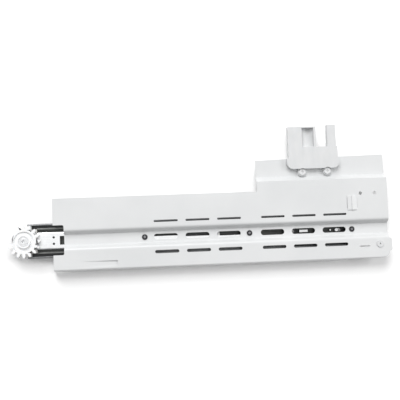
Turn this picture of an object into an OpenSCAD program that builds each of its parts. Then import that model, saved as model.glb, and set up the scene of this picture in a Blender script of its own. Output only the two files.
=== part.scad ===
// Full-extension ball-bearing drawer slide with a pressed drawer-side carrier plate.
// X runs along the slide towards the drawer front, Y is up when fitted, Z points from the
// cabinet wall to the drawer. The origin is the centre of the cabinet rail's mounting face.

/* [Cabinet rail] */
// Length of the cabinet rail
rail_length = 450; // [446:1:454]
// Half of the rail's height, 45.5 mm in all
rail_half_height = 22.75; // [22.7:0.01:22.8]
// Thickness of the rolled steel of the rails
rail_wall = 1.3; // [1.2:0.05:1.4]
// Distance between the two outermost cabinet screw holes
cabinet_hole_spacing = 384; // [380:1:386]
// Radius of the cabinet screw holes
cabinet_hole_r = 2.3; // [2:0.05:2.5]

/* [Travel] */
// Travel of the middle rail out of the cabinet rail
middle_travel = 205; // [200:1:205]
// Travel of the drawer rail out of the middle rail
drawer_travel = 215; // [205:1:215]

/* [Balls] */
// Radius of the balls between the cabinet rail and the middle rail
outer_ball_r = 2.3; // [2.25:0.01:2.35]
// Radius of the balls between the middle rail and the drawer rail
inner_ball_r = 1.9; // [1.85:0.01:1.95]
// Balls in each group
balls_per_group = 5; // [3:1:6]

/* [Carrier plate] */
// Thickness of the pressed sheet
sheet = 1.5; // [1.4:0.05:1.6]
// Rear edge of the plate
plate_rear_x = -191; // [-193:0.5:-189]
// Front edge of the plate
plate_front_x = 255.6; // [255.2:0.2:257]
// Top edge of the low part
low_top_y = 54.5; // [52:0.5:57]
// Underside of the plate, at its bottom flange
plate_bottom_y = -40.1; // [-41:0.1:-39]
// Height of the raised face above the cabinet wall
face_z = 22.2; // [22:0.1:22.4]
// Height of the sunk faces, which touch the drawer rail
sunk_z = 14.2; // [14.2:0.1:14.2]

/* [Slots] */
// Overall length of each slot
slot_length = 31.7; // [30:0.1:33]
// Pitch of the slots in one group
slot_pitch = 41.9; // [41:0.1:43]
// Width of the slots in the upper row
upper_slot_width = 2.7; // [2.5:0.1:3]
// Width of the slots in the middle row
middle_slot_width = 7.3; // [7:0.1:8]
// Width of the slots in the lower row
lower_slot_width = 4.2; // [3.9:0.1:4.5]

/* [Pinion] */
// Number of teeth
pinion_teeth = 16; // [16:1:16]
// Tooth module
pinion_module = 2.4; // [2.3:0.05:2.45]
// Face width of the teeth
pinion_width = 8; // [7:0.5:8]
// Radius of the axle
axle_r = 4; // [3.8:0.1:4]

/* [Clip] */
// Height of the clip's posts above the base
clip_post_top_y = 139.4; // [136:0.2:141]
// Depth of the clip from back to front
clip_depth = 9; // [8.5:0.5:10]

/* [Hidden] */
$fn = 48;
eps = 0.05;

rail_x0 = -rail_length / 2;

// Race centres, as [y, z], and the race radii around them
outer_race = [18.95, 6.4];
inner_race = [13.2, 7.8];
race_play = 0.15;
outer_race_r = outer_ball_r + race_play;
inner_race_r = inner_ball_r + race_play;
groove = 0.5;

outer_flat_y = outer_race[0] + outer_race_r - groove;
outer_flange_z = 11.6;
lip_y = 20.3;
lip_z = 10.4;
// Half of the room that the rear bumper leaves for the drawer rail's tongue
tongue_room_y = 10;

middle_x0 = -212;
middle_x1 = 222;
middle_web_z = 2.4;
middle_web = 1.1;
middle_top_z = 11.2;
middle_outer_y = outer_race[0] - outer_race_r + groove;
middle_inner_y = inner_race[0] + inner_race_r - groove;

inner_x0 = -212;
inner_x1 = 230;
inner_web_z = 11.5;
inner_web = sunk_z - sheet - inner_web_z;
inner_low_z = 4.9;
inner_outer_y = inner_race[0] - inner_race_r + groove;
inner_wall = 1.2;
shoulder_r = 2.2;
// A pair of round holes and a square window near the rail's rear end
tooling_hole = [-190.8, 4.2];
latch_window_x = [-182.8, -168];
latch_window_half = 5.7;
// Lower edge of the window behind each slot of the middle row, by group
window_low_y = [[0.6, -1, -1.8], [-5, -5, -5]];

// Cages: their rearmost and foremost ends when the slide is closed
outer_cage_x = [-107, 120];
inner_cage_x = [-104, 114];
ball_pitch = 9;
ball_end = 7;
cage_hole_play = 0.07;

access_hole_r = 5.5;
cabinet_hole_x = [-cabinet_hole_spacing / 2, -128, 128, cabinet_hole_spacing / 2];
// Adjusting slots of the cabinet rail: rear end and length
adjusting_slots = [[-175, 12], [88, 14]];
stop_pin_x = 60;
stop_pin_r = 2.2;
stop_slot_half = 2.7;
lance_x = [135.8, 147.2];
lance_top_z = 9.6;
boss_spots = [[178.4, 1.2], [187, 2.3]];

rivet_x = [-71.9, 67.5, 206.5];
rivet_shank_r = 2.5;
rivet_head_r = 3.7;

// Slots: the first slot's rear end in each group, and the height of each row
slot_group_x = [-59.7, 82.8];
slots_per_group = 3;
upper_slot_y = 20.4;
middle_slot_y = 0;
lower_slot_y = -19.9;
lower_slot_shift = 0.5;

pinion_x = -229;
pinion_z = 13.1;
axle_clearance = 0.05;

// Shape of the plate's pressed section, from the top edge down
upper_foot_y = 6.6;
upper_brow_y = 16.5;
lower_foot_y = -6.6;
lower_brow_y = -16.5;
ledge_low_y = 67.6;
ledge_high_y = 73.4;
bend_r = 2;
bottom_flange_z = 2.5;
bottom_flange_flare = 1.6;
bottom_flange_x1 = 197;

flange_left_y = 96.3;
flange_right_y = 99.7;
tall_x0 = 79;
flange_front_x = 254.2;

notch_x1 = -177;
notch_half = 19.5;
notch_corner_r = 2.2;

// Tab at the front end: its front edge, its lower and upper ends and its corner radius
ear_front_x = 258.8;
ear_y = [-31, -13.4];
ear_corner_r = 3;
bush = [242.3, -21.1];
bush_hole_r = 3.4;
bush_head_r = 4.8;

strap_x = [200.2, 213.3];
strap_y = [25.6, 44.2];
strap_rise = 2;
strap_gap = 0.35;
strap_foot = 2;

// Narrow slit behind the ear
slit_x = [214.9, 228.3];
slit_y = [-24.4, -22.9];

drawer_holes = [[218.6, 47.5], [238, 47.5]];
drawer_hole_r = 2.25;

clip_screw_at = [[141.8, 78.8], [175.9, 79.6]];
clip_screw_hole_r = 2.1;
clip_screw_r = 1.95;
screw_head_r = 4.3;
clip_lug_r = 5.8;
clip_lug = 3.6;

steel_colour = [0.62, 0.65, 0.68];
dark_steel = [0.35, 0.37, 0.4];
white_paint = [0.93, 0.94, 0.95];
white_plastic = [0.95, 0.96, 0.97];

// ---- Shared shapes ----

// A bar along X between two x values, from one [y, z] corner to the other
module bar(x0, x1, y0, y1, z0, z1) {
    translate([x0, y0, z0]) cube([x1 - x0, y1 - y0, z1 - z0]);
}

// A round bar along X
module round_bar(x0, x1, centre, r) {
    translate([x0, centre[0], centre[1]]) rotate([0, 90, 0]) cylinder(r = r, h = x1 - x0);
}

module both_sides() {
    children();
    mirror([0, 1, 0]) children();
}

// Rounds the outer edge of a rail where y and z are largest; turn is the way it faces
module edge_cut(x0, x1, y, z, r, turn) {
    translate([0, y, z]) rotate([turn, 0, 0]) difference() {
        bar(x0, x1, -r, 1, -r, 1);
        round_bar(x0, x1, [-r, -r], r);
    }
}

// A slot along X with round ends
module slot_along_x(x0, y, length, width, z0, z1) {
    r = width / 2;
    translate([x0 + r, y, z0]) cylinder(r = r, h = z1 - z0);
    translate([x0 + length - r, y, z0]) cylinder(r = r, h = z1 - z0);
    bar(x0 + r, x0 + length - r, y - r, y + r, z0, z1);
}

// Ball positions along one side of a cage: a group at each end
function ball_rows(span) = concat(
    [for (i = [0 : balls_per_group - 1]) span[0] + ball_end + i * ball_pitch],
    [for (i = [0 : balls_per_group - 1]) span[1] - ball_end - i * ball_pitch]);

module balls(span, race, r) {
    for (x = ball_rows(span)) both_sides() translate([x, race[0], race[1]]) sphere(r = r);
}

// A strip on each side that spaces the balls, and one strap that joins the strips at the rear
module ball_cage(span, race, r, half_strip, web_z, web_top, strip_top) {
    strap_length = 10;
    difference() {
        union() {
            both_sides() bar(span[0], span[1], race[0] - half_strip, race[0] + half_strip,
                web_z, strip_top);
            bar(span[0], span[0] + strap_length, -race[0], race[0], web_z, web_top);
        }
        for (x = ball_rows(span)) both_sides() translate([x, race[0] - 2 * half_strip, race[1]])
            rotate([-90, 0, 0]) cylinder(r = r + cage_hole_play, h = 4 * half_strip);
    }
}

// ---- Cabinet member ----

module outer_rail() {
    flange_y = rail_half_height - groove;
    color(steel_colour) difference() {
        union() {
            bar(rail_x0, -rail_x0, -flange_y, flange_y, 0, rail_wall);
            both_sides() {
                bar(rail_x0, -rail_x0, outer_flat_y, flange_y, 0, outer_flange_z);
                bar(rail_x0, -rail_x0, lip_y, flange_y, lip_z, outer_flange_z);
                intersection() {
                    round_bar(rail_x0, -rail_x0, outer_race, rail_half_height - outer_race[0]);
                    bar(rail_x0, -rail_x0, outer_flat_y, rail_half_height + 1, 0, outer_flange_z);
                }
            }
        }
        both_sides() {
            round_bar(rail_x0 - 1, -rail_x0 + 1, outer_race, outer_race_r);
            edge_cut(rail_x0 - 1, -rail_x0 + 1, flange_y, 0, 1.8, -90);
            edge_cut(rail_x0 - 1, -rail_x0 + 1, flange_y, outer_flange_z, 0.8, 0);
        }
        for (x = cabinet_hole_x) translate([x, 0, -1]) cylinder(r = cabinet_hole_r, h = rail_wall + 2);
        for (s = adjusting_slots) slot_along_x(s[0], 0, s[1], 2 * cabinet_hole_r, -1, rail_wall + 1);
    }
}

// Stepped plastic block that closes the rear end and that the middle rail closes against
module rear_bumper() {
    stop_x = middle_x0 - 0.6;
    step_x = rail_x0 + 5.3;
    channel_y = lip_y - 0.4;
    step_y = 15.5;
    ear_top_z = 10.8;
    color(white_plastic) difference() {
        union() {
            bar(rail_x0, stop_x, -step_y, step_y, rail_wall, 8.5);
            both_sides() {
                bar(rail_x0, step_x, tongue_room_y, channel_y, rail_wall, ear_top_z);
                bar(rail_x0, stop_x, tongue_room_y, step_y, rail_wall, ear_top_z);
            }
        }
        translate([rail_x0 + 7, 0, rail_wall - 1]) cylinder(r = 1.6, h = 9);
    }
}

// Headed rivet in the cabinet rail that runs in the middle rail's stop slot
module stop_pin() {
    color(dark_steel) translate([stop_pin_x, 0, rail_wall]) cylinder(r = stop_pin_r, h = 2);
}

module outer_ball_cage() {
    color(dark_steel) ball_cage(outer_cage_x, outer_race, outer_ball_r, 0.6, 1.6, 2.1, 9.4);
}

module outer_balls() {
    color(steel_colour) balls(outer_cage_x, outer_race, outer_ball_r);
}

// ---- Middle member ----

module middle_rail() {
    web_top = middle_web_z + middle_web;
    slot_x0 = stop_pin_x - middle_travel - stop_slot_half;
    color(steel_colour) difference() {
        union() {
            bar(middle_x0, middle_x1, -middle_outer_y, middle_outer_y, middle_web_z, web_top);
            both_sides() bar(middle_x0, middle_x1, middle_inner_y, middle_outer_y,
                middle_web_z, middle_top_z);
            // Lanced stop bridge near the front, and two pressed bosses beside it
            bar(lance_x[0], lance_x[1], -1.65, 1.65, web_top - eps, lance_top_z);
            for (b = boss_spots) translate([b[0], 0, web_top - eps]) cylinder(r = b[1], h = 5.2);
        }
        both_sides() {
            round_bar(middle_x0 - 1, middle_x1 + 1, outer_race, outer_race_r);
            round_bar(middle_x0 - 1, middle_x1 + 1, inner_race, inner_race_r);
            edge_cut(middle_x0 - 1, middle_x1 + 1, middle_outer_y, middle_web_z, 1.2, -90);
            edge_cut(middle_x0 - 1, middle_x1 + 1, middle_outer_y, middle_top_z, 0.6, 0);
        }
        bar(lance_x[0] + 1.2, lance_x[1] - 1.2, -2, 2, middle_web_z - 1, lance_top_z - 1.1);
        slot_along_x(slot_x0, 0, middle_travel + 2 * stop_slot_half, 2 * stop_slot_half,
            middle_web_z - 1, web_top + 1);
        for (x = cabinet_hole_x) translate([x, 0, middle_web_z - 1])
            cylinder(r = access_hole_r, h = middle_web + 2);
    }
}

// Plastic block in the middle rail that stops the drawer rail at full travel
module middle_rail_stop() {
    stop_x0 = inner_x0 + 14 + drawer_travel + 1;
    color(white_plastic) bar(stop_x0, stop_x0 + 10, -6, 6, middle_web_z + middle_web, 9.5);
}

module inner_ball_cage() {
    color(dark_steel) ball_cage(inner_cage_x, inner_race, inner_ball_r, 0.5, 3.8, 4.4, 10.6);
}

module inner_balls() {
    color(steel_colour) balls(inner_cage_x, inner_race, inner_ball_r);
}

// ---- Drawer member ----

// Drawer rail: flanged for most of its length, with a flat tongue at the rear for the axle
module inner_rail() {
    top_z = inner_web_z + inner_web;
    tongue_y = 8.75;
    bulge_r = inner_race_r + inner_wall;
    color(steel_colour) difference() {
        union() {
            bar(inner_x0, inner_x1, -inner_outer_y, inner_outer_y, inner_web_z, top_z);
            both_sides() {
                bar(inner_x0, inner_x1, inner_outer_y - inner_wall, inner_outer_y, inner_low_z, top_z);
                intersection() {
                    round_bar(inner_x0, inner_x1, inner_race, bulge_r);
                    bar(inner_x0, inner_x1, 0, inner_outer_y, inner_low_z, top_z);
                }
            }
            bar(pinion_x, inner_x0 + eps, -tongue_y, tongue_y, inner_web_z, top_z);
            translate([pinion_x, 0, inner_web_z]) cylinder(r = tongue_y, h = inner_web);
        }
        both_sides() {
            round_bar(inner_x0 - 1, inner_x1 + 1, inner_race, inner_race_r);
            edge_cut(inner_x0, inner_x1 + 1, inner_outer_y, top_z, shoulder_r, 0);
        }
        translate([pinion_x, 0, inner_web_z - 1]) cylinder(r = 2.5, h = inner_web + 2);
        for (x = rivet_x) translate([x, 0, inner_web_z - 1]) cylinder(r = rivet_shank_r, h = 4);
        both_sides() translate([tooling_hole[0], tooling_hole[1], inner_web_z - 1]) cylinder(r = 1.5, h = 4);
        bar(latch_window_x[0], latch_window_x[1], -latch_window_half, latch_window_half,
            inner_web_z - 1, top_z + 1);
        // Windows behind the middle row of slots: the two rearmost are narrow and lie high
        for (group = [0, 1], i = [0 : slots_per_group - 1])
            let (x = slot_group_x[group] + i * slot_pitch, low_y = window_low_y[group][i])
                bar(x - 2.5, x + slot_length + 2.5, low_y, 5, inner_web_z - 1, top_z + 1);
    }
}

// Rubber block under the drawer rail that meets the middle rail's stop
module inner_rail_stop() {
    color([0.15, 0.15, 0.16]) bar(inner_x0 + 4, inner_x0 + 14, -6, 6, 5.2, inner_web_z);
}

// Front surface of the plate as [y, z] points, from the top edge of the tall part down
function ease(t) = (1 - cos(180 * t)) / 2;
function press(y0, z0, y1, z1, steps) =
    [for (i = [0 : steps]) [y0 + (y1 - y0) * i / steps, z0 + (z1 - z0) * ease(i / steps)]];
// Side of the sunk channel: a wide round brow at the top, steepest just above the foot
function channel_side(brow_y, foot_y, steps) =
    [for (i = [0 : steps]) [brow_y + (foot_y - brow_y) * i / steps,
        face_z + (sunk_z - face_z) * ease(pow(i / steps, 2.4))]];
function reversed(points) = [for (i = [len(points) - 1 : -1 : 0]) points[i]];
function bend(steps) =
    [for (i = [0 : steps]) [plate_bottom_y + bend_r - bend_r * sin(90 * i / steps),
        face_z - bend_r + bend_r * cos(90 * i / steps)]];
plate_face = concat(
    [[flange_right_y + 2, sunk_z]],
    press(ledge_high_y, sunk_z, ledge_low_y, face_z, 4),
    channel_side(upper_brow_y, upper_foot_y, 14),
    reversed(channel_side(lower_brow_y, lower_foot_y, 14)),
    bend(8),
    [[plate_bottom_y - bottom_flange_flare, bottom_flange_z]]);
last_point = len(plate_face) - 1;

// The same surface one sheet thickness behind, square to the face at every point
function direction(i) = plate_face[min(i + 1, last_point)] - plate_face[max(i - 1, 0)];
function behind(i) = plate_face[i] + sheet * [-direction(i)[1], direction(i)[0]] / norm(direction(i));
plate_back = reversed([for (i = [0 : last_point]) behind(i)]);

module pressed_section(x0, x1) {
    translate([x0, 0, 0]) rotate([90, 0, 90]) linear_extrude(height = x1 - x0)
        polygon(concat(plate_face, plate_back));
}

// Plan outline of the plate as a prism
module plate_plan() {
    corner_r = 2;
    lower_r = 10;
    under_y = plate_bottom_y - bottom_flange_flare - sheet;
    translate([0, 0, -1]) {
        bar(plate_rear_x, tall_x0 + 1, under_y, low_top_y - 1.5, 0, 40);
        bar(plate_rear_x + 1.5, tall_x0 + 1, low_top_y - 2, low_top_y, 0, 40);
        translate([plate_rear_x + 1.5, low_top_y - 1.5, 0]) cylinder(r = 1.5, h = 40);
        // Tall part up to the ledge, then the upper flange with its slightly rising top edge
        bar(tall_x0, plate_front_x, -20, ledge_low_y + 1, 0, 40);
        linear_extrude(height = 40) polygon([[tall_x0, low_top_y], [tall_x0, flange_left_y],
            [flange_front_x - corner_r, flange_right_y], [flange_front_x, flange_right_y - corner_r],
            [flange_front_x, ledge_high_y], [plate_front_x, ledge_high_y], [plate_front_x, low_top_y]]);
        // Lower front corner, with the ear
        bar(tall_x0, plate_front_x - lower_r, under_y, 0, 0, 40);
        bar(tall_x0, plate_front_x, plate_bottom_y + lower_r, 0, 0, 40);
        translate([plate_front_x - lower_r, plate_bottom_y + lower_r, 0]) cylinder(r = lower_r, h = 40);
        bar(plate_front_x - lower_r, ear_front_x - ear_corner_r, ear_y[0], ear_y[1], 0, 40);
        bar(plate_front_x - lower_r, ear_front_x, ear_y[0] + ear_corner_r, ear_y[1] - ear_corner_r, 0, 40);
        for (y = [ear_y[0] + ear_corner_r, ear_y[1] - ear_corner_r])
            translate([ear_front_x - ear_corner_r, y, 0]) cylinder(r = ear_corner_r, h = 40);
    }
}

// Notch in the rear edge, with rounded inner corners
function notch_corner(side) = [for (i = [0 : 4]) let (a = side > 0 ? 90 - 22.5 * i : 22.5 * i)
    [notch_x1 - notch_corner_r * (1 - cos(a)), side * (notch_half - notch_corner_r * (1 - sin(a)))]];
module notch() {
    translate([0, 0, 5]) linear_extrude(height = face_z)
        polygon(concat([[plate_rear_x - 1, notch_half]], notch_corner(1), notch_corner(-1),
            [[plate_rear_x - 1, -notch_half]]));
}

module slot_row(y, width, shift) {
    for (group = slot_group_x, i = [0 : slots_per_group - 1])
        slot_along_x(group + i * slot_pitch + shift, y, slot_length, width, 5, face_z + 5);
}

// Strap pressed up out of the front part of the plate: a low rear step and a high front
// step that slopes down to the front, on a foot at each end
module strap() {
    step = strap_x[0] + 5.2;
    top = [[strap_x[0], 0.8], [step, 1.1], [step + 1, strap_rise], [strap_x[1], 0.5]];
    under = [for (p = reversed(top)) [p[0], p[1] - sheet]];
    feet = [[strap_x[1], -sheet], [strap_x[0], -sheet]];
    translate([0, strap_y[1], face_z]) rotate([90, 0, 0]) {
        linear_extrude(height = strap_y[1] - strap_y[0]) polygon(concat(top, under));
        linear_extrude(height = strap_foot) polygon(concat(top, feet));
        translate([0, 0, strap_y[1] - strap_y[0] - strap_foot]) linear_extrude(height = strap_foot)
            polygon(concat(top, feet));
    }
}

recess_x = [-156.3, -108.4];
recess_y = [-36.5, -28.8];
recess_depth = 1.8;

// Pressed recess, level with the face at its rear end and deepest at its front end
module recess_cut() {
    run = recess_x[1] - recess_x[0];
    translate([recess_x[0], recess_y[0], face_z]) rotate([0, atan(recess_depth / run), 0])
        cube([run / cos(atan(recess_depth / run)), recess_y[1] - recess_y[0], 4]);
}

module carrier_plate() {
    color(white_paint) difference() {
        union() {
            difference() {
                intersection() {
                    pressed_section(plate_rear_x, ear_front_x + 1);
                    plate_plan();
                }
                bar(strap_x[0] - strap_gap, strap_x[1] + strap_gap, strap_y[0] + strap_foot,
                    strap_y[1] - strap_foot, 5, face_z + 1);
                // The bottom flange stops short of the front
                bar(bottom_flange_x1, plate_front_x + 10, plate_bottom_y - 5, plate_bottom_y + 5,
                    0, face_z - bend_r);
            }
            strap();
            bar(recess_x[0] + 10, recess_x[1] + 1.2, recess_y[0] - 1.2, recess_y[1] + 1.2,
                face_z - sheet - recess_depth + 0.4, face_z - sheet + eps);
        }
        recess_cut();
        notch();
        slot_row(upper_slot_y, upper_slot_width, 0);
        slot_row(middle_slot_y, middle_slot_width, 0);
        slot_row(lower_slot_y, lower_slot_width, lower_slot_shift);
        for (x = rivet_x) translate([x, 0, 5]) cylinder(r = rivet_shank_r, h = 20);
        for (h = drawer_holes) translate([h[0], h[1], 5]) cylinder(r = drawer_hole_r, h = 25);
        for (s = clip_screw_at) translate([s[0], s[1], 5]) cylinder(r = clip_screw_hole_r, h = 20);
        translate([bush[0], bush[1], 5]) cylinder(r = bush_hole_r, h = 25);
        bar(slit_x[0], slit_x[1], slit_y[0], slit_y[1], 5, face_z + 5);
    }
}

module plate_rivets() {
    web_back = inner_web_z;
    color(dark_steel) for (x = rivet_x) translate([x, 0, 0]) {
        translate([0, 0, web_back - 1]) cylinder(r = rivet_head_r, h = 1);
        translate([0, 0, web_back - eps]) cylinder(r = rivet_shank_r, h = sunk_z - web_back + 2 * eps);
        translate([0, 0, sunk_z]) cylinder(r = rivet_head_r, h = 0.9);
        translate([0, 0, sunk_z]) cylinder(r = 1.6, h = 1.3);
    }
}

// ---- Pinion on its axle ----

pitch_r = pinion_module * pinion_teeth / 2;
tip_r = pitch_r + pinion_module;
root_r = pitch_r - 1.2 * pinion_module;
base_r = pitch_r * cos(20);

// Involute flank: the angle in degrees swept from the base circle out to radius r
function swept(r) = let (a = acos(base_r / max(r, base_r))) tan(a) * 180 / PI - a;
half_tooth = 90 / pinion_teeth + swept(pitch_r);
flank_steps = 5;
flank_r = [for (i = [0 : flank_steps]) max(base_r, root_r) + (tip_r - max(base_r, root_r)) * i / flank_steps];
function at(r, angle) = [r * cos(angle), r * sin(angle)];
tooth = concat(
    [at(root_r - 1, -half_tooth)],
    [for (r = flank_r) at(r, swept(r) - half_tooth)],
    [for (i = [flank_steps : -1 : 0]) at(flank_r[i], half_tooth - swept(flank_r[i]))],
    [at(root_r - 1, half_tooth)]);

module pinion_gear() {
    hub_r = 8.75;
    dish_r = 13;
    color(white_plastic) translate([pinion_x, 0, pinion_z]) difference() {
        union() {
            for (i = [0 : pinion_teeth - 1]) rotate([0, 0, 360 * i / pinion_teeth])
                linear_extrude(height = pinion_width) polygon(tooth);
            cylinder(r = root_r, h = pinion_width);
            cylinder(r = hub_r, h = pinion_width + 1.5);
        }
        translate([0, 0, pinion_width - 2.6]) difference() {
            cylinder(r = dish_r, h = 3);
            translate([0, 0, -1]) cylinder(r = hub_r, h = 5);
        }
        translate([0, 0, -1]) cylinder(r = axle_r + axle_clearance, h = pinion_width + 4);
        translate([0, 0, pinion_width]) cylinder(r = 6.6, h = 3);
    }
}

// Shouldered axle, riveted through the drawer rail's tongue, with a hollow front end
module pinion_axle() {
    color(dark_steel) translate([pinion_x, 0, 0]) difference() {
        union() {
            translate([0, 0, inner_web_z - 0.9]) cylinder(r = 4, h = 0.9);
            translate([0, 0, inner_web_z - eps]) cylinder(r = 2.5, h = inner_web + 2 * eps);
            translate([0, 0, inner_web_z + inner_web]) cylinder(r = axle_r, h = 9.6);
        }
        translate([0, 0, 18]) cylinder(r = 2, h = 6);
    }
}

module axle_back_washer() {
    color(white_plastic) translate([pinion_x, 0, inner_web_z + inner_web]) difference() {
        cylinder(r = 7, h = 0.3);
        translate([0, 0, -1]) cylinder(r = axle_r + axle_clearance, h = 3);
    }
}

module axle_retaining_ring() {
    color(steel_colour) translate([pinion_x, 0, pinion_z + pinion_width + 0.1]) difference() {
        cylinder(r = 6, h = 0.8);
        translate([0, 0, -1]) cylinder(r = axle_r, h = 3);
    }
}

// ---- Clip on the upper flange ----

clip_x = [123.6, 190];
clip_base_x = [121, 192.6];
clip_base_y = [83, 97.2];
clip_foot_y = 90;
clip_floor_y = 112;
clip_front_z = 22;
clip_gap_x = [161.8, 177];
clip_base_r = 9;
trough_x = 150.7;
trough_r = 8;

module clip_body() {
    back_z = clip_front_z - clip_depth;
    foot_x = [146, 163];
    color(white_plastic) difference() {
        union() {
            // Base that lies on the flange, with round lower corners and two screw lugs
            bar(clip_base_x[0] + clip_base_r, clip_base_x[1] - clip_base_r, clip_base_y[0], clip_base_y[1],
                sunk_z, clip_front_z);
            bar(clip_base_x[0], clip_base_x[1], clip_base_y[0] + clip_base_r, clip_base_y[1],
                sunk_z, clip_front_z);
            for (x = [clip_base_x[0] + clip_base_r, clip_base_x[1] - clip_base_r])
                translate([x, clip_base_y[0] + clip_base_r, sunk_z])
                    cylinder(r = clip_base_r, h = clip_front_z - sunk_z);
            for (s = clip_screw_at) translate([s[0], s[1], sunk_z]) cylinder(r = clip_lug_r, h = clip_lug);
            // Thin foot between the lugs
            bar(foot_x[0], foot_x[1], clip_base_y[0] - 4, clip_base_y[0] + 1, sunk_z, sunk_z + 1.4);
            // Body that stands above the flange
            translate([0, 0, sunk_z]) linear_extrude(height = clip_front_z - sunk_z)
                polygon([[clip_x[0], clip_foot_y], [clip_x[1] + 1, clip_foot_y],
                    [clip_x[1], clip_floor_y], [clip_x[0], clip_floor_y]]);
            bar(clip_x[0], clip_x[1], 101, clip_floor_y, back_z, clip_front_z);
            bar(clip_x[0], clip_gap_x[0], clip_floor_y - eps, clip_post_top_y, back_z, clip_front_z);
            bar(clip_gap_x[1], clip_x[1] - 1.4, clip_floor_y - eps, clip_post_top_y + 1.6,
                back_z, clip_front_z);
        }
        // Half-round trough in the front of the rear post
        translate([trough_x, clip_floor_y, clip_front_z + 0.5]) rotate([-90, 0, 0])
            cylinder(r = trough_r, h = clip_post_top_y - clip_floor_y - 1.6);
        // Hollow back of the rear post
        bar(clip_x[0] + 2.2, clip_x[0] + 13, clip_floor_y + 2, clip_post_top_y + 2,
            back_z - 1, clip_front_z - 2.4);
        for (s = clip_screw_at) translate([s[0], s[1], sunk_z - 1])
            cylinder(r = clip_screw_hole_r, h = 12);
        for (s = clip_screw_at) translate([s[0], s[1], sunk_z + clip_lug])
            cylinder(r = screw_head_r + 0.5, h = 12);
    }
}

module clip_screws() {
    seat_z = sunk_z + clip_lug;
    color(steel_colour) for (s = clip_screw_at) translate([s[0], s[1], 0]) difference() {
        union() {
            translate([0, 0, seat_z]) cylinder(r = screw_head_r, h = 1.8);
            translate([0, 0, 9]) cylinder(r = clip_screw_r, h = seat_z - 9 + eps);
        }
        for (turn = [0, 90]) rotate([0, 0, turn]) translate([-2, -0.4, seat_z + 0.8]) cube([4, 0.8, 2]);
    }
}

module clip_nuts() {
    color(dark_steel) for (s = clip_screw_at) translate([s[0], s[1], sunk_z - sheet - 2.4]) difference() {
        cylinder(r = 3.9, h = 2.4, $fn = 6);
        translate([0, 0, -1]) cylinder(r = clip_screw_r, h = 5);
    }
}

// Push-in bush in the ear
module ear_bush() {
    color(white_plastic) translate([bush[0], bush[1], 0]) difference() {
        union() {
            translate([0, 0, face_z]) cylinder(r = bush_head_r, h = 1.2);
            translate([0, 0, face_z - sheet - 1.5]) cylinder(r = bush_hole_r, h = sheet + 1.5 + eps);
        }
        translate([0, 0, face_z - 5]) cylinder(r = 1, h = 10);
    }
}

outer_rail();
rear_bumper();
stop_pin();
outer_ball_cage();
outer_balls();
middle_rail();
middle_rail_stop();
inner_ball_cage();
inner_balls();
inner_rail();
inner_rail_stop();
carrier_plate();
plate_rivets();
pinion_gear();
pinion_axle();
axle_back_washer();
axle_retaining_ring();
clip_body();
clip_screws();
clip_nuts();
ear_bush();
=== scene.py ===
import math
import bmesh
import bpy
from mathutils import Matrix, Vector


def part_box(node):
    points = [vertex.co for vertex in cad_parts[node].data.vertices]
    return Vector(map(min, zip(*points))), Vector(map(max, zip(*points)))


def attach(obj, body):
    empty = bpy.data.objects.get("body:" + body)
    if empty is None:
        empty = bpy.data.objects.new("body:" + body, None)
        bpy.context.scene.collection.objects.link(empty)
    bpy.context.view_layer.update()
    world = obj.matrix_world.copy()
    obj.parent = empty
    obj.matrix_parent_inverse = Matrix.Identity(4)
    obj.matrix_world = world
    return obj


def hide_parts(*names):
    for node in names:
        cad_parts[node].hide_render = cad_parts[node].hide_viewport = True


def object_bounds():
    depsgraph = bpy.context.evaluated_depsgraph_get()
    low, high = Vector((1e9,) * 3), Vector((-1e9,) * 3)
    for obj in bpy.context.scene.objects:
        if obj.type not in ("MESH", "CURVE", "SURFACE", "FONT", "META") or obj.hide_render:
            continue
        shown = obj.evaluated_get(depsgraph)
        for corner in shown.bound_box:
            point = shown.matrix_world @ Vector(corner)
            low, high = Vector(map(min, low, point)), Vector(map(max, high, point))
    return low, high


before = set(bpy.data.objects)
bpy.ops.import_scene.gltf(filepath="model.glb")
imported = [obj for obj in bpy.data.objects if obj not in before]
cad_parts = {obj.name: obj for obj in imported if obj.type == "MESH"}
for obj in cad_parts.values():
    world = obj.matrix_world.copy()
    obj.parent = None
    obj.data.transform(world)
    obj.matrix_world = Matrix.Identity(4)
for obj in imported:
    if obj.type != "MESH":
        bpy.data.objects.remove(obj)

mm = 0.001
white = (1.0, 1.0, 1.0, 1.0)
cadLow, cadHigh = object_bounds()
cadMiddle = (Vector(cadLow) + Vector(cadHigh)) / 2
print("drawer slide: frame loaded")


# camera, looking almost straight down on the carrier plate

viewSettings = {
    "lens": 76.5,
    "sensor": 36.0,
    "farthest": 20.0,
    "distance": 1.122,
    "aside": 5.0,      # degrees towards the rear end
    "below": 3.2,      # degrees towards the bottom flange
    "roll": 2.31,
    "aim": (-1.7 * mm, -3.8 * mm),   # from the middle of the slide
    "faceHeight": 22.2 * mm,
}


def placeCamera(s):
    aside, below, roll = (math.radians(s[angle]) for angle in ("aside", "below", "roll"))
    back = Vector((-math.sin(aside) * math.cos(below), -math.sin(below),
        math.cos(aside) * math.cos(below)))
    target = Vector((cadMiddle.x + s["aim"][0], cadMiddle.y + s["aim"][1], s["faceHeight"]))
    level = (-back).cross(Vector((0, 1, 0))).normalized()
    upright = level.cross(-back).normalized()
    right = level * math.cos(roll) - upright * math.sin(roll)
    up = level * math.sin(roll) + upright * math.cos(roll)
    camera = bpy.data.objects.new("slideCamera", bpy.data.cameras.new("slideCamera"))
    camera.data.lens = s["lens"]
    camera.data.sensor_width = s["sensor"]
    camera.data.clip_end = s["farthest"]
    turn = Matrix((right, up, back)).transposed().to_4x4()
    camera.matrix_world = Matrix.Translation(target + back * s["distance"]) @ turn
    bpy.context.scene.collection.objects.link(camera)
    bpy.context.scene.camera = camera


placeCamera(viewSettings)
print("drawer slide: camera placed")


# node helpers; every texture stands on object coordinates in metres

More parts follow.
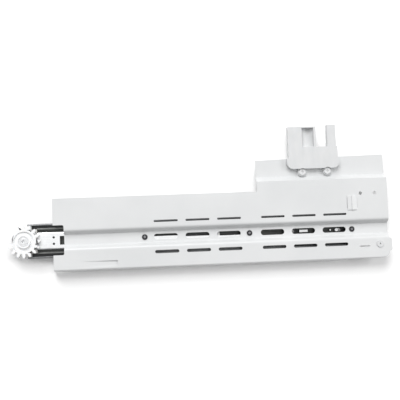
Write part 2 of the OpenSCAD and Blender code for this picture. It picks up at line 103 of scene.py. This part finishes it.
def openMaterial(name, metallic=0.0):
    material = bpy.data.materials.new(name)
    material.use_nodes = True
    tree = material.node_tree
    shader = tree.nodes["Principled BSDF"]
    shader.inputs["Metallic"].default_value = metallic
    return material, tree, shader


def linkNodes(tree, *pairs):
    for source, target in pairs:
        tree.links.new(source, target)


def scaledPlace(tree, stretch=(1, 1, 1)):
    place = tree.nodes.new("ShaderNodeTexCoord")
    mapping = tree.nodes.new("ShaderNodeMapping")
    mapping.inputs["Scale"].default_value = stretch
    linkNodes(tree, (place.outputs["Object"], mapping.inputs["Vector"]))
    return mapping.outputs["Vector"]


def cloud(tree, place, scale, detail, rough=0.5):
    noise = tree.nodes.new("ShaderNodeTexNoise")
    noise.inputs["Scale"].default_value = scale
    noise.inputs["Detail"].default_value = detail
    noise.inputs["Roughness"].default_value = rough
    linkNodes(tree, (place, noise.inputs["Vector"]))
    return noise.outputs["Fac"]


def between(tree, value, low, high, fromLow=0.35, fromHigh=0.65):
    spread = tree.nodes.new("ShaderNodeMapRange")
    spread.inputs["From Min"].default_value = fromLow
    spread.inputs["From Max"].default_value = fromHigh
    spread.inputs["To Min"].default_value = low
    spread.inputs["To Max"].default_value = high
    linkNodes(tree, (value, spread.inputs["Value"]))
    return spread.outputs["Result"]


def tint(tree, value, darker, lighter, fromLow=0.3, fromHigh=0.7):
    ramp = tree.nodes.new("ShaderNodeValToRGB")
    first, last = ramp.color_ramp.elements
    first.position, first.color = fromLow, (*darker, 1)
    last.position, last.color = fromHigh, (*lighter, 1)
    linkNodes(tree, (value, ramp.inputs["Fac"]))
    return ramp.outputs["Color"]


def relief(tree, height, depth, strength, under=None):
    bump = tree.nodes.new("ShaderNodeBump")
    bump.inputs["Strength"].default_value = strength
    bump.inputs["Distance"].default_value = depth
    linkNodes(tree, (height, bump.inputs["Height"]))
    if under is not None:
        linkNodes(tree, (under, bump.inputs["Normal"]))
    return bump.outputs["Normal"]


def grained(tree, place, grain, under=None):
    scale, detail, depth, strength = grain
    return relief(tree, cloud(tree, place, scale, detail), depth, strength, under)


def mathNode(tree, kind, value, other):
    node = tree.nodes.new("ShaderNodeMath")
    node.operation = kind
    linkNodes(tree, (value, node.inputs[0]))
    if isinstance(other, (int, float)):
        node.inputs[1].default_value = other
    else:
        linkNodes(tree, (other, node.inputs[1]))
    return node.outputs["Value"]


def blend(tree, share, first, second):
    mix = tree.nodes.new("ShaderNodeMix")
    mix.data_type = "RGBA"
    # the seventh and eighth inputs and the third output are the colour ones
    linkNodes(tree, (share, mix.inputs[0]), (first, mix.inputs[6]), (second, mix.inputs[7]))
    return mix.outputs[2]


def dress(tree, shader, colour, roughness, normal=None):
    linkNodes(tree, (colour, shader.inputs["Base Color"]),
        (roughness, shader.inputs["Roughness"]))
    if normal is not None:
        linkNodes(tree, (normal, shader.inputs["Normal"]))


# materials; a cloud is scale, detail and roughness, and a grain is scale, detail, depth, strength

paintLook = {
    "thin": (0.655, 0.665, 0.67), "full": (0.705, 0.712, 0.715), "patches": (14.0, 4),
    "gloss": (0.34, 0.46), "sheen": (90.0, 5),
    "peel": (620.0, 2, 0.04 * mm, 0.5), "grit": (2600.0, 1, 0.012 * mm, 0.4),
    "coat": 0.15, "coatRoughness": 0.25,
}


def whitePaint(s):
    # powder coat: faint cloudiness in the white, orange peel and a finer grit over it
    material, tree, shader = openMaterial("whitePaint")
    shader.inputs["Coat Weight"].default_value = s["coat"]
    shader.inputs["Coat Roughness"].default_value = s["coatRoughness"]
    place = scaledPlace(tree)
    dress(tree, shader,
        tint(tree, cloud(tree, place, *s["patches"]), s["thin"], s["full"]),
        between(tree, cloud(tree, place, *s["sheen"]), *s["gloss"]),
        grained(tree, place, s["grit"], grained(tree, place, s["peel"])))
    return material


paint = whitePaint(paintLook)


brightLook = {
    "darker": (0.86, 0.87, 0.88), "lighter": (0.96, 0.965, 0.97), "spangle": (160.0, 5, 0.6),
    "gloss": (0.26, 0.40), "stretch": (0.025, 1, 1), "marks": (1500.0, 3, 0.6),
    "scratch": (0.01 * mm, 0.35), "pits": (500.0, 2, 0.01 * mm, 0.3),
}
cageLook = dict(brightLook, darker=(0.16, 0.165, 0.17), lighter=(0.27, 0.275, 0.28),
    spangle=(200.0, 5, 0.6), gloss=(0.30, 0.48))


def zincPlate(name, s):
    # rolled strip: long drawing marks along X under a slightly clouded zinc plate
    material, tree, shader = openMaterial(name, metallic=1.0)
    place = scaledPlace(tree)
    marks = cloud(tree, scaledPlace(tree, s["stretch"]), *s["marks"])
    dress(tree, shader,
        tint(tree, cloud(tree, place, *s["spangle"]), s["darker"], s["lighter"]),
        between(tree, marks, *s["gloss"]),
        grained(tree, place, s["pits"], relief(tree, marks, *s["scratch"])))
    return material


brightZinc = zincPlate("brightZinc", brightLook)
cageSteel = zincPlate("cageSteel", cageLook)


railLook = {
    # grease streaks and painted shade lie below the lips, above the web and inside the channel's
    # sides; the zinc itself is kept dark as painted shade
    "lipHeight": (8.4 * mm, 9.6 * mm), "webHeight": (0.6 * mm, 1.2 * mm),
    "sideAcross": (20.9 * mm, 21.5 * mm),
    "greaseAndShadeDark": (0.03, 0.031, 0.031), "greaseAndShadeLight": (0.12, 0.122, 0.124),
    "shadedZincDark": (0.19, 0.195, 0.20), "shadedZincLight": (0.29, 0.295, 0.30), "spangle": (130.0, 5, 0.6),
    "gloss": (0.28, 0.46), "stretch": (0.02, 1, 1), "marks": (1300.0, 4, 0.65),
    "scratch": (0.012 * mm, 0.4), "pits": (500.0, 2, 0.01 * mm, 0.3),
}
# the middle rail is darkened the same way, with painted shade and grease streaks
middleLook = dict(railLook, lipHeight=(10.4 * mm, 11.4 * mm), webHeight=(2.2 * mm, 2.6 * mm),
    greaseAndShadeDark=(0.036, 0.038, 0.036), greaseAndShadeLight=(0.12, 0.124, 0.12),
    shadedZincDark=(0.16, 0.165, 0.16), shadedZincLight=(0.26, 0.265, 0.26))


def greaseAndShadeRail(name, s):
    # satin zinc outside and on the lips, kept dark all over as painted shade, and darker still
    # inside the channel, where the balls run, with grease streaks and painted shade
    material, tree, shader = openMaterial(name, metallic=1.0)
    place = scaledPlace(tree)
    parts = tree.nodes.new("ShaderNodeSeparateXYZ")
    linkNodes(tree, (place, parts.inputs["Vector"]))
    side, height = parts.outputs["Y"], parts.outputs["Z"]
    across = mathNode(tree, "MAXIMUM", side, mathNode(tree, "MULTIPLY", side, -1.0))
    below = between(tree, height, 1.0, 0.0, *s["lipHeight"])
    inside = between(tree, across, 1.0, 0.0, *s["sideAcross"])
    above = between(tree, height, 0.0, 1.0, *s["webHeight"])
    # mask of the channel's inside, which gets the painted shade and the grease streaks
    greaseAndShadeMask = mathNode(tree, "MULTIPLY", mathNode(tree, "MULTIPLY", below, inside), above)
    marks = cloud(tree, scaledPlace(tree, s["stretch"]), *s["marks"])
    greaseAndShade = tint(tree, marks, s["greaseAndShadeDark"], s["greaseAndShadeLight"])
    # zinc outside the channel, darkened as painted shade
    shadedZinc = tint(tree, cloud(tree, place, *s["spangle"]), s["shadedZincDark"], s["shadedZincLight"])
    dress(tree, shader,
        blend(tree, greaseAndShadeMask, shadedZinc, greaseAndShade),
        between(tree, marks, *s["gloss"]),
        grained(tree, place, s["pits"], relief(tree, marks, *s["scratch"])))
    return material


railZinc = greaseAndShadeRail("railZinc", railLook)
middleZinc = greaseAndShadeRail("middleZinc", middleLook)


pinionLook = {
    "darker": (0.86, 0.865, 0.87), "lighter": (0.92, 0.925, 0.93), "flow": (120.0, 4),
    "flowStretch": (1, 0.35, 1), "gloss": (0.36, 0.50), "sheen": (300.0, 3),
    "grain": (1900.0, 2, 0.015 * mm, 0.5),
    "soft": 0.12, "softRadius": (1.0, 0.9, 0.8), "softDepth": 0.6 * mm, "ior": 1.48,
}
clipLook = dict(pinionLook, darker=(0.635, 0.645, 0.65), lighter=(0.685, 0.69, 0.695),
    gloss=(0.40, 0.55), soft=0.10)
nylonLook = dict(pinionLook, darker=(0.84, 0.84, 0.82), lighter=(0.90, 0.90, 0.88),
    gloss=(0.38, 0.52), soft=0.18, grain=(1400.0, 2, 0.015 * mm, 0.5))
screwLook = dict(pinionLook, darker=(0.66, 0.665, 0.67), lighter=(0.74, 0.745, 0.75),
    gloss=(0.42, 0.55), soft=0.05, grain=(2400.0, 2, 0.015 * mm, 0.5))


def mouldedPlastic(name, s):
    # moulded part: fine spark-eroded texture, faint flow clouds and a little depth
    material, tree, shader = openMaterial(name)
    shader.inputs["Subsurface Weight"].default_value = s["soft"]
    shader.inputs["Subsurface Radius"].default_value = s["softRadius"]
    shader.inputs["Subsurface Scale"].default_value = s["softDepth"]
    shader.inputs["IOR"].default_value = s["ior"]
    place = scaledPlace(tree)
    flow = cloud(tree, scaledPlace(tree, s["flowStretch"]), *s["flow"])
    dress(tree, shader,
        tint(tree, flow, s["darker"], s["lighter"]),
        between(tree, cloud(tree, place, *s["sheen"]), *s["gloss"]),
        grained(tree, place, s["grain"]))
    return material


pinionPlastic = mouldedPlastic("pinionPlastic", pinionLook)
clipPlastic = mouldedPlastic("clipPlastic", clipLook)
nylon = mouldedPlastic("nylon", nylonLook)
screwWhite = mouldedPlastic("screwWhite", screwLook)


axleLook = {
    "darker": (0.76, 0.77, 0.78), "lighter": (0.90, 0.91, 0.92), "wear": (700.0, 4),
    "gloss": (0.24, 0.42), "rings": 13000.0, "ringRelief": (0.01 * mm, 0.4),
}
nutLook = dict(axleLook, darker=(0.60, 0.61, 0.62), lighter=(0.78, 0.79, 0.80),
    gloss=(0.22, 0.38))
rivetLook = dict(axleLook, darker=(0.03, 0.03, 0.033), lighter=(0.065, 0.065, 0.07),
    gloss=(0.34, 0.50))
# lighter tone that the rivet heads get on their top faces
lightTopRivetLook = dict(axleLook, darker=(0.20, 0.20, 0.21), lighter=(0.34, 0.34, 0.35),
    gloss=(0.28, 0.42))
weldDistance = 0.002 * mm


def headCentres(node):
    # middle of each separate solid in one node of the design
    bm = bmesh.new()
    bm.from_mesh(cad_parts[node].data)
    bmesh.ops.remove_doubles(bm, verts=bm.verts, dist=weldDistance)
    left = dict.fromkeys(bm.verts)
    centres = []
    while left:
        reached = [left.popitem()[0]]
        for vert in reached:
            near = [edge.other_vert(vert) for edge in vert.link_edges]
            fresh = [other for other in near if other in left]
            for other in fresh:
                left.pop(other, None)
            reached.extend(fresh)
        spots = [vert.co for vert in reached]
        centres.append([(min(spot[axis] for spot in spots) + max(spot[axis] for spot in spots)) / 2
            for axis in range(3)])
    bm.free()
    return centres


def turnedSteel(name, s, centres):
    # turned heads: fine rings round the nearest centre
    material, tree, shader = openMaterial(name, metallic=1.0)
    flat = scaledPlace(tree, (1, 1, 0))
    nearest = None
    for centre in centres:
        reach = tree.nodes.new("ShaderNodeVectorMath")
        reach.operation = "DISTANCE"
        reach.inputs[1].default_value = (centre[0], centre[1], 0)
        linkNodes(tree, (flat, reach.inputs[0]))
        away = reach.outputs["Value"]
        nearest = away if nearest is None else mathNode(tree, "MINIMUM", nearest, away)
    rings = mathNode(tree, "SINE", mathNode(tree, "MULTIPLY", nearest, s["rings"]), 0.0)
    worn = cloud(tree, scaledPlace(tree), *s["wear"])
    dress(tree, shader,
        tint(tree, worn, s["darker"], s["lighter"]),
        between(tree, worn, *s["gloss"]),
        relief(tree, rings, *s["ringRelief"]))
    return material


rivetCentres = headCentres("plate_rivets")
axleSteel = turnedSteel("axleSteel", axleLook, headCentres("pinion_axle"))
nutZinc = turnedSteel("nutZinc", nutLook, headCentres("clip_nuts"))
darkRivet = turnedSteel("darkRivet", rivetLook, rivetCentres)
lightTopRivet = turnedSteel("lightTopRivet", lightTopRivetLook, rivetCentres)


ballLook = {
    "darker": (0.62, 0.62, 0.64), "lighter": (0.80, 0.80, 0.82), "film": (420.0, 4),
    "gloss": (0.08, 0.20), "grain": (2400.0, 2, 0.004 * mm, 0.3), "metallic": 1.0,
}
rubberLook = {
    "darker": (0.02, 0.02, 0.022), "lighter": (0.05, 0.05, 0.052), "film": (260.0, 4),
    "gloss": (0.62, 0.85), "grain": (1500.0, 3, 0.03 * mm, 0.5), "metallic": 0.0,
}


def filmed(name, s):
    # one thin film clouds both the colour and the shine: oil on steel, bloom on rubber
    material, tree, shader = openMaterial(name, s["metallic"])
    place = scaledPlace(tree)
    film = cloud(tree, place, *s["film"])
    dress(tree, shader,
        tint(tree, film, s["darker"], s["lighter"]),
        between(tree, film, *s["gloss"]),
        grained(tree, place, s["grain"]))
    return material


ballChrome = filmed("ballChrome", ballLook)
rubber = filmed("stopRubber", rubberLook)
print("drawer slide: materials made")


# pieces: each takes the design's own solid, merges its facets and rounds its edges

edgeSettings = {
    "segments": 2,
    "flat": 0.6,        # degrees; facets closer than this are merged into one face
    "sharp": 28.0,      # degrees; edges above this are rounded
    "shadeBreak": 50.0,
    "weight": 100,
}


def finishedPiece(node, body, material, edge, worn, s):
    piece = bpy.data.objects.new(node + "Finished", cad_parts[node].data.copy())
    bpy.context.scene.collection.objects.link(piece)
    bm = bmesh.new()
    bm.from_mesh(piece.data)
    bmesh.ops.remove_doubles(bm, verts=bm.verts, dist=weldDistance)
    bmesh.ops.dissolve_limit(bm, angle_limit=math.radians(s["flat"]), verts=bm.verts,
        edges=bm.edges, use_dissolve_boundaries=False)
    sharp = math.radians(s["sharp"])
    corners = [line for line in bm.edges if line.is_manifold and line.calc_face_angle(0.0) > sharp]
    bmesh.ops.bevel(bm, geom=corners, affect="EDGES", offset=edge, offset_type="OFFSET",
        segments=s["segments"], profile=0.5, clamp_overlap=True, material=-1)
    for face in bm.faces:
        face.smooth = True
    bm.to_mesh(piece.data)
    bm.free()
    piece.data.materials.clear()
    piece.data.materials.append(material)
    if worn:
        # the raised faces near the middle line take a second, lighter material: on the middle rail
        # this bright zinc is a painted highlight, and the rivet heads are simply lighter on top
        brightTopMaterial, above, reach = worn
        piece.data.materials.append(brightTopMaterial)
        for face in piece.data.polygons:
            face.material_index = int(face.center.z > above and abs(face.center.y) < reach)
    piece.data.set_sharp_from_angle(angle=math.radians(s["shadeBreak"]))
    weighted = piece.modifiers.new("evenShading", "WEIGHTED_NORMAL")
    weighted.weight = s["weight"]
    weighted.keep_sharp = True
    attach(piece, body)
    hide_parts(node)


finishTable = {
    # node: body, material, edge radius, record slot
    "outer_rail": ("cabinet_member", railZinc, 0.16 * mm, "zinc_rail"),
    "middle_rail": ("middle_member", middleZinc, 0.14 * mm, "zinc_middle"),
    "inner_rail": ("drawer_member", brightZinc, 0.16 * mm, "zinc_drawer"),
    "carrier_plate": ("drawer_member", paint, 0.22 * mm, "white_paint"),
    "pinion_gear": ("pinion", pinionPlastic, 0.28 * mm, "pinion_plastic"),
    "clip_body": ("drawer_member", clipPlastic, 0.5 * mm, "clip_plastic"),
    "rear_bumper": ("cabinet_member", nylon, 0.4 * mm, "bumper_plastic"),
    "middle_rail_stop": ("middle_member", nylon, 0.4 * mm, "bumper_plastic"),
    "inner_rail_stop": ("drawer_member", rubber, 0.5 * mm, "stop_rubber"),
    "plate_rivets": ("drawer_member", darkRivet, 0.18 * mm, "rivet_steel"),
    "pinion_axle": ("drawer_member", axleSteel, 0.15 * mm, "axle_steel"),
    "axle_retaining_ring": ("drawer_member", axleSteel, 0.1 * mm, "axle_steel"),
    "clip_screws": ("drawer_member", screwWhite, 0.18 * mm, "screw_steel"),
    "clip_nuts": ("drawer_member", nutZinc, 0.18 * mm, "screw_steel"),
    "ear_bush": ("drawer_member", clipPlastic, 0.25 * mm, "clip_plastic"),
    "outer_ball_cage": ("outer_cage", cageSteel, 0.08 * mm, "cage_steel"),
    "inner_ball_cage": ("inner_cage", cageSteel, 0.08 * mm, "cage_steel"),
}
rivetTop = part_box("plate_rivets")[1][2]
brightTopFaces = {
    # node: material, above which height, how far from the middle line
    "plate_rivets": (lightTopRivet, rivetTop - 0.3 * mm, 3.0 * mm),
    # the middle rail's raised faces get the bright zinc as a painted highlight
    "middle_rail": (brightZinc, 7.0 * mm, 3.0 * mm),
}
for node, (body, material, edge, slot) in finishTable.items():
    finishedPiece(node, body, material, edge, brightTopFaces.get(node), edgeSettings)

# these small round pieces keep the design's own meshes
plainPieces = {
    "outer_balls": ballChrome,
    "inner_balls": ballChrome,
    "axle_back_washer": nylon,
    "stop_pin": darkRivet,
}
for node, material in plainPieces.items():
    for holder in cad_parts[node].material_slots:
        holder.material = material
print("drawer slide: pieces finished")


# floor and light

floorSettings = {
    "halfWidth": 6.0, "drop": 0.05 * mm, "glow": 0.09,
    "darker": (0.93, 0.93, 0.93), "lighter": (0.95, 0.95, 0.95), "patches": (3.0, 2),
    "gloss": (0.7, 0.8), "sheen": (40.0, 2),
}


def paleFloor(s):
    # pale table, lit a little from inside so that the shadows stay soft
    material, tree, shader = openMaterial("paleFloor")
    shader.inputs["Emission Color"].default_value = white
    shader.inputs["Emission Strength"].default_value = s["glow"]
    place = scaledPlace(tree)
    dress(tree, shader,
        tint(tree, cloud(tree, place, *s["patches"]), s["darker"], s["lighter"]),
        between(tree, cloud(tree, place, *s["sheen"]), *s["gloss"]))
    return material


def layFloor(s):
    bm = bmesh.new()
    bmesh.ops.create_grid(bm, x_segments=1, y_segments=1, size=s["halfWidth"])
    mesh = bpy.data.meshes.new("floor")
    bm.to_mesh(mesh)
    bm.free()
    floor = bpy.data.objects.new("floor", mesh)
    bpy.context.scene.collection.objects.link(floor)
    floor.location.z = -s["drop"]
    mesh.materials.append(paleFloor(s))


lightSettings = {
    "window": {"at": (-0.9, 3.6, 4.0), "size": 3.7, "power": 272.0},
    "side": {"at": (3.4, 0.9, 3.2), "size": 1.8, "power": 60.0},
    "overhead": {"at": (-0.2, 0.2, 3.6), "size": 2.6, "power": 15.0},
}
roomStrength = 0.27
lampAim = Vector((0.0, 0.03, 0.0))


def hangLight(name, s):
    lamp = bpy.data.objects.new(name, bpy.data.lights.new(name, "AREA"))
    lamp.data.shape = "SQUARE"
    lamp.data.size = s["size"]
    lamp.data.energy = s["power"]
    spot = Vector(s["at"])
    lamp.location = spot
    lamp.rotation_euler = (lampAim - spot).to_track_quat("-Z", "Y").to_euler()
    bpy.context.scene.collection.objects.link(lamp)


def lightRoom(strength):
    room = bpy.data.worlds.new("paleRoom")
    room.use_nodes = True
    air = room.node_tree.nodes["Background"]
    air.inputs["Color"].default_value = white
    air.inputs["Strength"].default_value = strength
    bpy.context.scene.world = room


layFloor(floorSettings)
for lamp, settings in lightSettings.items():
    hangLight(lamp + "Light", settings)
lightRoom(roomStrength)
bpy.context.scene.view_settings.view_transform = "Standard"
print("drawer slide: floor and light ready")
